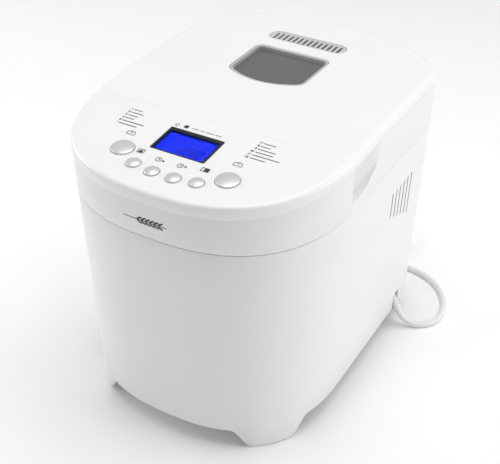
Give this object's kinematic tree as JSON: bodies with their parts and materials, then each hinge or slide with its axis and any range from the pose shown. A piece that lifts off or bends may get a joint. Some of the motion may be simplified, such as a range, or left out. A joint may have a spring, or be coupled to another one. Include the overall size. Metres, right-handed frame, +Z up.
{
  "type": "bread machine",
  "caption": "Compact white bread machine with a front control panel, hinged window lid, oven chamber, lift-out pan, kneading paddle, belt drive and mains lead.",
  "frame": {"origin": "middle of the footprint box without the mains lead, on the surface that the feet stand on", "axes": "+Z up, the control panel towards -Y, the lid hinge towards +Y, +X to the right of the front"},
  "size_m": [0.2989, 0.4712, 0.2907],
  "materials": {
    "white_plastic": "moulded, satin gloss",
    "grey_plastic": "moulded, matte",
    "black_plastic": "moulded, gloss",
    "silver_plastic": "silver lacquer over plastic",
    "smoked_glass": "smoked, polished",
    "clear_glass": "clear, polished",
    "display": "backlit blue display",
    "rubber": "matte",
    "silicone": "matte silicone",
    "steel": "plain sheet and rod",
    "bright_steel": "polished",
    "cast_aluminium": "as cast",
    "non_stick": "non-stick coating",
    "circuit_board": "solder mask",
    "cord_white": "soft PVC"
  },
  "bodies": {
    "housing": {"body_shell": "white_plastic", "top_frame": "white_plastic", "control_panel": "white_plastic", "base_plate": "grey_plastic", "terminal_block": "grey_plastic", "front_left_foot": "rubber", "front_right_foot": "rubber", "rear_left_foot": "rubber", "rear_right_foot": "rubber", "drive_belt": "rubber", "hinge_pin_left": "steel", "hinge_pin_right": "steel", "element_clip_left": "steel", "element_clip_right": "steel", "oven_chamber": "steel", "heating_element": "steel", "drive_bridge": "steel", "motor_bridge": "steel", "motor": "steel", "temperature_sensor": "bright_steel", "thermal_fuse": "bright_steel", "bearing_screw_1": "bright_steel", "bearing_screw_2": "bright_steel", "bearing_screw_3": "bright_steel", "display_bezel": "black_plastic", "cord_tie": "black_plastic", "display_glass": "clear_glass", "display_module": "display", "control_board": "circuit_board", "power_board": "circuit_board", "pan_seat": "cast_aluminium", "spindle_bearing": "cast_aluminium", "capacitor": "cast_aluminium", "strain_relief": "cord_white", "power_cord": "cord_white", "cord_coil": "cord_white", "cord_tail": "cord_white", "plug": "cord_white"},
    "lid": {"lid_shell": "white_plastic", "vent_grille": "white_plastic", "window_gasket": "silicone", "window_pane": "smoked_glass", "lid_liner": "cast_aluminium", "inner_pane": "clear_glass"},
    "pan": {"bread_pan": "non_stick", "pan_base": "cast_aluminium", "pan_ear_left": "bright_steel", "pan_ear_right": "bright_steel"},
    "handle": {"pan_handle": "bright_steel"},
    "paddle": {"pan_shaft": "bright_steel", "kneading_paddle": "non_stick"},
    "spindle": {"drive_spindle": "steel", "large_pulley": "grey_plastic"},
    "motor_shaft": {"motor_pulley": "steel"},
    "program_key": {"program_button": "silver_plastic"},
    "size_key": {"size_button": "silver_plastic"},
    "time_up_key": {"time_up_button": "silver_plastic"},
    "time_down_key": {"time_down_button": "silver_plastic"},
    "crust_key": {"crust_button": "silver_plastic"},
    "start_stop_key": {"start_stop_button": "silver_plastic"}
  },
  "joints": [
    {"name": "lid_hinge", "type": "hinge", "parent": "housing", "child": "lid", "pos_m": [0, 0.1728, 0.272], "axis": [-1, 0, 0], "range_deg": [0, 95]},
    {"name": "pan_lift", "type": "slide", "parent": "housing", "child": "pan", "axis": [0, 0, 1], "range_m": [0, 0.018]},
    {"name": "handle_swing", "type": "hinge", "parent": "pan", "child": "handle", "pos_m": [0, 0.042, 0.226], "axis": [-1, 0, 0], "range_deg": [0, 90]},
    {"name": "spindle_spin", "type": "hinge", "parent": "housing", "child": "spindle", "pos_m": [0, 0.042, 0.045], "axis": [0, 0, 1], "continuous": true},
    {"name": "paddle_spin", "type": "hinge", "parent": "pan", "child": "paddle", "pos_m": [0, 0.042, 0.1], "axis": [0, 0, 1], "continuous": true},
    {"name": "motor_spin", "type": "hinge", "parent": "housing", "child": "motor_shaft", "pos_m": [0, -0.112, 0.045], "axis": [0, 0, 1], "continuous": true},
    {"name": "program_press", "type": "slide", "parent": "housing", "child": "program_key", "axis": [0, 0.0851, -0.9964], "range_m": [0, 0.0015], "stiffness_N_per_m": 600, "springref_m": -0.001},
    {"name": "size_press", "type": "slide", "parent": "housing", "child": "size_key", "axis": [0, 0.0851, -0.9964], "range_m": [0, 0.0015], "stiffness_N_per_m": 600, "springref_m": -0.001},
    {"name": "time_up_press", "type": "slide", "parent": "housing", "child": "time_up_key", "axis": [0, 0.0851, -0.9964], "range_m": [0, 0.0015], "stiffness_N_per_m": 600, "springref_m": -0.001},
    {"name": "time_down_press", "type": "slide", "parent": "housing", "child": "time_down_key", "axis": [0, 0.0851, -0.9964], "range_m": [0, 0.0015], "stiffness_N_per_m": 600, "springref_m": -0.001},
    {"name": "crust_press", "type": "slide", "parent": "housing", "child": "crust_key", "axis": [0, 0.0851, -0.9964], "range_m": [0, 0.0015], "stiffness_N_per_m": 600, "springref_m": -0.001},
    {"name": "start_stop_press", "type": "slide", "parent": "housing", "child": "start_stop_key", "axis": [0, 0.0851, -0.9964], "range_m": [0, 0.0015], "stiffness_N_per_m": 600, "springref_m": -0.001}
  ],
  "couplings": [
    {"joint": "handle_swing", "follows": "lid_hinge", "ratio": 0.94},
    {"joint": "paddle_spin", "follows": "spindle_spin", "ratio": 1},
    {"joint": "motor_spin", "follows": "spindle_spin", "ratio": 5.5}
  ]
}
